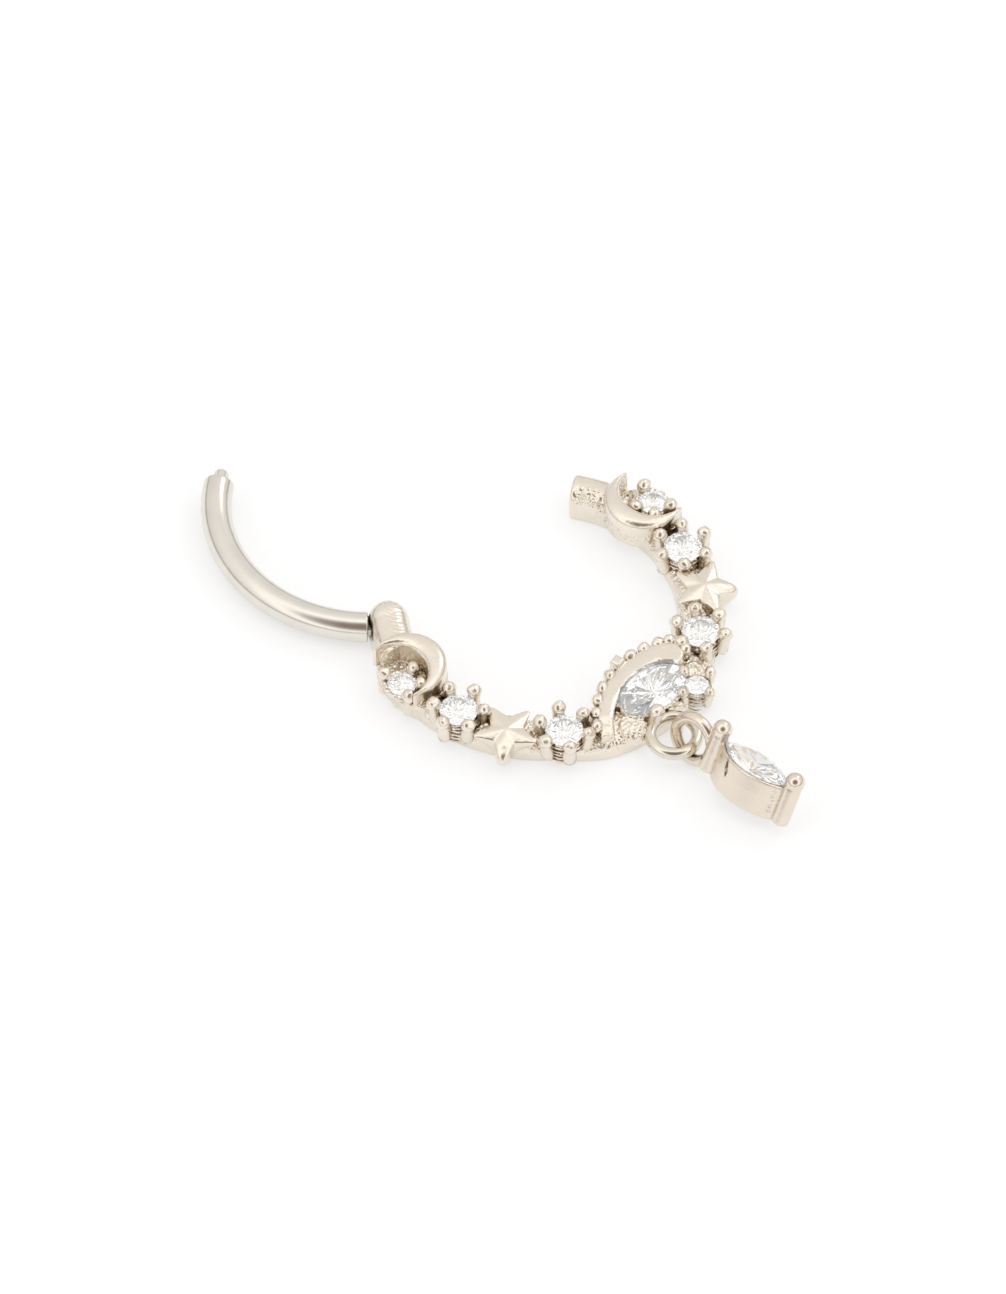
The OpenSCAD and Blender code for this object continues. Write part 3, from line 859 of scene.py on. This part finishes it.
star_forms = []
for x, y, turn in stars:
    matrix = Matrix.Translation((x, y, 0)) @ Matrix.Rotation(math.radians(turn), 4, "Z")
    star_forms += [moved(star_form(), matrix), moved(fin_form(), matrix)]
star_pair = fused("stars", star_forms, star_voxel, star_passes)
place(star_pair)
star_pair.data.materials.append(silver)
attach(star_pair, "root")

# The bar is one length of 1.6 mm surgical steel wire, bent to the ring's radius and polished. It has a
# flat tongue with a round eye on the hinge's rivet, eased shoulders, and a turned nipple at its free end.
bar_d = 1.6
bar_sides = 48
bar_arc_at = Vector((-0.11, 0.17, 0))
bar_from = 1.08
open_angle = -bar_joint["range_deg"][0]
tongue_t = 0.48
tongue_edge = 0.04
tongue_small = 0.96
tongue_in_bar = 0.5
eye_r = 0.78
eye_to = 0.35
neck_w = 1.0
nipple_l = 0.75
shoulder_gap = 0.08
shoulder = 0.14
shoulder_rows = [shoulder, 0.09, 0.05, 0.02, 0]
past_shoulder = 0.1
hinge_shoulder = 0.06
hinge_rows = [0, 0.01, 0.02, 0.04, hinge_shoulder]
steel = metal("polished_steel", colour=(0.825, 0.79, 0.725), roughness=0.2,
              painted_shade=(0.3, 0.27, 0.22), grain_size=0.0002, grain_depth=0.000001)


def bar_profile(from_end, eased):
    """The bar's radius near an end, eased over its shoulder."""
    if from_end >= eased:
        return bar_d / 2
    lost = 1 - math.sqrt(1 - (1 - from_end / eased) ** 2)
    return bar_d / 2 - eased * lost


def bar_form():
    """The round bar from its hinge end to its free end, and the nipple there."""
    offset = bar_arc_at.dot(polar(1, socket_angle + 90))
    to_hinge = hinge - bar_arc_at
    start = math.degrees(math.atan2(to_hinge.y, to_hinge.x)) - math.degrees(bar_from / ring_r)
    end = socket_angle + math.degrees((shoulder_gap - offset) / ring_r)
    length = math.radians(start - end) * ring_r
    stops = hinge_rows + steps(shoulder + past_shoulder, length - shoulder - past_shoulder, 90)
    stops += [length - d for d in shoulder_rows]
    rings = []
    for s in stops:
        angle = start - math.degrees(s / ring_r)
        r = min(bar_profile(s, hinge_shoulder), bar_profile(length - s, shoulder))
        turns = [2 * math.pi * k / bar_sides for k in range(bar_sides)]
        rings.append([polar(ring_r + r * math.cos(t), angle, hinge.z + r * math.sin(t), bar_arc_at)
                      for t in turns])
    tip_place = Matrix.Translation((bar_arc_at.x, bar_arc_at.y, hinge.z))
    tip_place = tip_place @ Matrix.Rotation(math.radians(end), 4, "Z")
    tip_place = tip_place @ Matrix.Translation((ring_r, 0, 0)) @ Matrix.Rotation(math.radians(90), 4, "X")
    nipple_r = nipple_d / 2
    nipple = turned([(nipple_r + 0.05, -0.05), (nipple_r, 0.05), (nipple_r, nipple_l - 0.15),
                     (nipple_r - 0.04, nipple_l - 0.06), (nipple_r - 0.13, nipple_l)], sides=32)
    return [lofted(rings), moved(nipple, tip_place)]


def tongue_form():
    """The flat tongue with its round eye, eased at both faces. Its root is sunk in the bar."""
    ring = []
    for t in steps(90, 270, 25):
        ring.append((eye_r * math.cos(math.radians(t)), eye_r * math.sin(math.radians(t))))
    reach = bar_from + tongue_in_bar
    ring += [(eye_to, -neck_w / 2), (reach, -neck_w / 2), (reach, neck_w / 2), (eye_to, neck_w / 2)]
    turn = Matrix.Translation(hinge) @ Matrix.Rotation(math.radians(hinge_angle - 90), 4, "Z")
    levels = [(-tongue_t / 2, tongue_small), (-tongue_t / 2 + tongue_edge, 1),
              (tongue_t / 2 - tongue_edge, 1), (tongue_t / 2, tongue_small)]
    return lofted([[turn @ Vector((x * grow, y * grow, z)) for x, y in ring] for z, grow in levels])


swing = Matrix.Translation(hinge) @ Matrix.Rotation(math.radians(open_angle), 4, "Z")
swing = swing @ Matrix.Translation(-hinge)
bar = mesh_of("bar", [moved(form, swing) for form in bar_form() + [tongue_form()]])
place(bar, 50)
bar.data.materials.append(steel)
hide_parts("hinged_bar")
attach(bar, "bar")
for holder in frame["nodes"]["hinge_pin"].material_slots:
    holder.material = steel

# The drop is a marquise stone in a high plain wall between two ball tipped posts, all of plated metal.
# Its bail is a wire ring, soldered on and hung through the flat loop, and the drop has rolled over onto
# the edge of its wall, where it lies.
bail_at = Vector((-0.15, -11.68, 1.46))
bail_d = 2.36
bail_roll = 20
drop_turn = -85.6
drop_at = (-0.59, -13.09)
drop_lift = 0.54
drop_roll = 28
drop_l = 4.2
drop_w = 2.1
drop_run = 5.05
drop_h = 2.6
drop_voxel = 0.045
wall_t = 0.3
wall_h = 2.03
wall_outside = [(0, -0.2), (0.08, -0.08), (0.5, -0.04), (1.2, 0), (wall_h - 0.05, 0.02), (wall_h, -0.04)]
wall_inside = [(0.05, 0.05, wall_h), (0.2, 0.3, wall_h - 0.4), (0.3, 0.4, 0.02), (0.3, 0.4, 0.0)]
foot_r = 0.47
post_r = 0.48
post_ball_r = 0.52
notch_at = Vector((1.42, 0, 2.1))
notch_deep = 1.15
notch_slant = 8
notch_sides = (-2, -0.5)
seam_back = 0.62
seam_w = 0.16
seam_foot = (0.2, 0.5)
seam_top = (1.7, 2.0)
seam_depth = 0.05
seam_size = 0.12
rose = metal("drop_silver", colour=(0.845, 0.755, 0.65), roughness=0.18,
             painted_shade=(0.36, 0.26, 0.18), grain_size=0.0002, grain_depth=0.000003)


def marquise(length, width, z, count=24):
    """A pointed oval, its two sides arcs of one radius."""
    radius = (length * length + width * width) / 4 / width
    half = [(x, math.sqrt(max(0.0, radius * radius - x * x)) - radius + width / 2)
            for x in [length / 2 * math.cos(math.pi * i / count) for i in range(count + 1)]]
    ring = half[:-1] + [(x, -y) for x, y in reversed(half)][:-1]
    return [Vector((drop_run / 2 + x, y, z)) for x, y in ring]


def drop_wall():
    """The wall's outer side from its foot up, and its inner side from the stone's ledge down."""
    outer = [marquise(drop_l + 2 * wall_t + grow, drop_w + wall_t + grow, z) for z, grow in wall_outside]
    inner = [marquise(drop_l - short, drop_w - slim, z) for short, slim, z in wall_inside]
    return lofted(outer + inner)


def drop_seam(p):
    """Solder is left rough where the wall meets the far post."""
    here = from_drop @ p
    near = max(0.0, 1 - abs(here.x - drop_run + seam_back) / seam_w)
    return near * ease(*seam_foot, here.z) * (1 - ease(*seam_top, here.z))


drop_place = Matrix.Translation((drop_at[0], drop_at[1], drop_lift))
drop_place = drop_place @ Matrix.Rotation(math.radians(drop_turn), 4, "Z")
drop_place = drop_place @ Matrix.Rotation(math.radians(-drop_roll), 4, "X")
from_drop = drop_place.inverted()
post = [(foot_r - 0.08, 0.05), (foot_r, 0.14), (post_r, 1.2), (post_r, 2.2)] + tip(post_ball_r, drop_h, -25)
posts = [turned(post, (x, 0.0)) for x in (0, drop_run)]
wedge = [(-0.05, 0.1), (0.06, 0.1), (0.24, 0.35 - notch_deep), (0.12, -notch_deep),
         (-0.04, 0.45 - notch_deep)]
notch_turn = Matrix.Translation(notch_at) @ Matrix.Rotation(math.radians(-notch_slant), 4, "Y")
notch = moved(lofted([[Vector((x, y, z)) for x, z in wedge] for y in notch_sides]), drop_place @ notch_turn)
bail_place = Matrix.Translation(bail_at) @ Matrix.Rotation(math.radians(drop_turn), 4, "Z")
bail_place = bail_place @ Matrix.Rotation(math.radians(90 - bail_roll), 4, "X")
drop_forms = [moved(form, drop_place) for form in [drop_wall()] + posts]
drop = fused("drop", drop_forms + [moved(wire_ring(bail_d, wire_d), bail_place)], drop_voxel, passes=2)
drop.data.materials.append(rose)
rough_cast(drop, seam_depth, seam_size, drop_seam)
cut(drop, [notch])
place(drop)
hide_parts("drop_setting")
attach(drop, "root")

# The stones are clear zirconia, cut as round and marquise brilliants and held by their prongs and walls.
# They keep the frame's own facets, and get a water-clear body with a faint painted glow and a breath of blue and
# rose tint painted in as fire.
fire = bpy.data.materials.new("clear_zirconia")
fire.use_nodes = True
glass = fire.node_tree.nodes["Principled BSDF"]
glass.inputs["Roughness"].default_value = 0.0
glass.inputs["IOR"].default_value = 2.0
glass.inputs["Transmission Weight"].default_value = 1.0
# Painted light: the stones glow faintly white, though they are no lamp.
glass.inputs["Emission Color"].default_value = (1, 1, 1, 1)
glass.inputs["Emission Strength"].default_value = 0.065
stone_place = fire.node_tree.nodes.new("ShaderNodeTexCoord")
# Painted fire: a blue and rose tint that varies by position stands in for the stones' coloured flashes of light.
painted_fire = fire.node_tree.nodes.new("ShaderNodeTexNoise")
painted_fire.inputs["Scale"].default_value = 1100.0
painted_fire_tint = fire.node_tree.nodes.new("ShaderNodeValToRGB")
painted_fire_tint.color_ramp.elements[0].position = 0.35
painted_fire_tint.color_ramp.elements[0].color = (0.96, 0.985, 1.0, 1)
painted_fire_tint.color_ramp.elements[1].position = 0.65
painted_fire_tint.color_ramp.elements[1].color = (1.0, 0.97, 0.96, 1)
fire.node_tree.links.new(stone_place.outputs["Object"], painted_fire.inputs["Vector"])
fire.node_tree.links.new(painted_fire.outputs["Fac"], painted_fire_tint.inputs["Fac"])
fire.node_tree.links.new(painted_fire_tint.outputs["Color"], glass.inputs["Base Color"])
for name, stone in frame["nodes"].items():
    if "stone" in name:
        for holder in stone.material_slots:
            holder.material = fire

# The photograph's set: the part lies on a white sweep in a light tent, with a window light from the
# right, and is seen by a long lens from the front left.
target = ring_middle + Vector((-2.55, 0.23, 0)) * mm
sight = Vector((-0.417, -0.453, 0.788)).normalized()
camera_away = 1.5
camera_data = bpy.data.cameras.new("photo_camera")
camera_data.sensor_fit = "HORIZONTAL"
camera_data.sensor_width = 36
camera_data.lens = 1040
camera_data.clip_start = 0.1
camera = bpy.data.objects.new("photo_camera", camera_data)
camera.location = target + sight * camera_away
camera.rotation_euler = (-sight).to_track_quat("-Z", "Y").to_euler()
bpy.context.scene.collection.objects.link(camera)
bpy.context.scene.camera = camera
bpy.context.scene.view_settings.view_transform = "Standard"

floor = mesh_of("floor", [([Vector((x, y, 0)) for x, y in [(-1, -1), (1, -1), (1, 1), (-1, 1)]],
                           [(0, 1, 2, 3)])])
paper = bpy.data.materials.new("white_paper")
paper.use_nodes = True
paper_skin = paper.node_tree.nodes["Principled BSDF"]
paper_skin.inputs["Roughness"].default_value = 0.9
paper_skin.inputs["Specular IOR Level"].default_value = 0.1
paper_skin.inputs["Base Color"].default_value = (0.45, 0.46, 0.47, 1)
paper_skin.inputs["Emission Color"].default_value = (1, 1, 1, 1)
paper_skin.inputs["Emission Strength"].default_value = 0.605
floor.data.materials.append(paper)

window_light = bpy.data.lights.new("window", "AREA")
window_light.shape = "DISK"
window_light.size = 0.16
window_light.energy = 0.12
window = bpy.data.objects.new("window", window_light)
window.location = (0.32, 0.02, 0.32)
window.rotation_euler = (-window.location).to_track_quat("-Z", "Y").to_euler()
window.visible_camera = False
bpy.context.scene.collection.objects.link(window)

world = bpy.data.worlds.new("light_tent")
world.use_nodes = True
bpy.context.scene.world = world
tent = world.node_tree.nodes
around = tent.new("ShaderNodeTexCoord")
toward = tent.new("ShaderNodeVectorMath")
toward.operation = "DOT_PRODUCT"
toward.inputs[1].default_value = sight
turned_away = tent.new("ShaderNodeMapRange")
turned_away.inputs["From Min"].default_value = -1.0
tent_tone = tent.new("ShaderNodeValToRGB")
tent_tone.color_ramp.elements[0].position = 0.25
tent_tone.color_ramp.elements[0].color = (0.9, 0.89, 0.87, 1)
tent_tone.color_ramp.elements[1].position = 0.985
tent_tone.color_ramp.elements[1].color = (0.25, 0.19, 0.15, 1)
for position, tone in [(0.5, 0.85), (0.75, 1.0), (0.84, 1.3), (0.905, 1.3), (0.94, 0.55)]:
    tent_tone.color_ramp.elements.new(position).color = (tone, 0.975 * tone, 0.955 * tone, 1)
split = tent.new("ShaderNodeSeparateXYZ")
horizon = tent.new("ShaderNodeMapRange")
horizon.inputs["From Min"].default_value = 0.04
horizon.inputs["From Max"].default_value = 0.22
horizon.inputs["To Min"].default_value = 0.3
dim = tent.new("ShaderNodeVectorMath")
dim.operation = "SCALE"
inside_stone = tent.new("ShaderNodeVectorMath")
inside_stone.operation = "SCALE"
inside_stone.inputs[0].default_value = (1.0, 1.0, 0.99)
patches = tent.new("ShaderNodeTexNoise")
patches.inputs["Scale"].default_value = 4.0
patch_tone = tent.new("ShaderNodeMapRange")
patch_tone.inputs["From Min"].default_value = 0.35
patch_tone.inputs["From Max"].default_value = 0.65
patch_tone.inputs["To Min"].default_value = 0.62
patch_tone.inputs["To Max"].default_value = 1.3
ray = tent.new("ShaderNodeLightPath")
stone_light = tent.new("ShaderNodeMix")
stone_light.data_type = "RGBA"
shown = tent.new("ShaderNodeMix")
shown.data_type = "RGBA"
shown.inputs[7].default_value = (1, 1, 1, 1)
for a, b in [(around.outputs["Generated"], toward.inputs[0]),
             (around.outputs["Generated"], split.inputs[0]),
             (toward.outputs["Value"], turned_away.inputs["Value"]),
             (turned_away.outputs["Result"], tent_tone.inputs["Fac"]),
             (split.outputs["Z"], horizon.inputs["Value"]),
             (tent_tone.outputs["Color"], dim.inputs[0]),
             (horizon.outputs["Result"], dim.inputs["Scale"]),
             (around.outputs["Generated"], patches.inputs["Vector"]),
             (patches.outputs["Fac"], patch_tone.inputs["Value"]),
             (patch_tone.outputs["Result"], inside_stone.inputs["Scale"]),
             (dim.outputs[0], stone_light.inputs[6]),
             (ray.outputs["Transmission Depth"], stone_light.inputs[0]),
             (inside_stone.outputs[0], stone_light.inputs[7]),
             (stone_light.outputs[2], shown.inputs[6]),
             (ray.outputs["Is Camera Ray"], shown.inputs[0]),
             (shown.outputs[2], tent["Background"].inputs["Color"])]:
    world.node_tree.links.new(a, b)

bpy.context.view_layer.update()
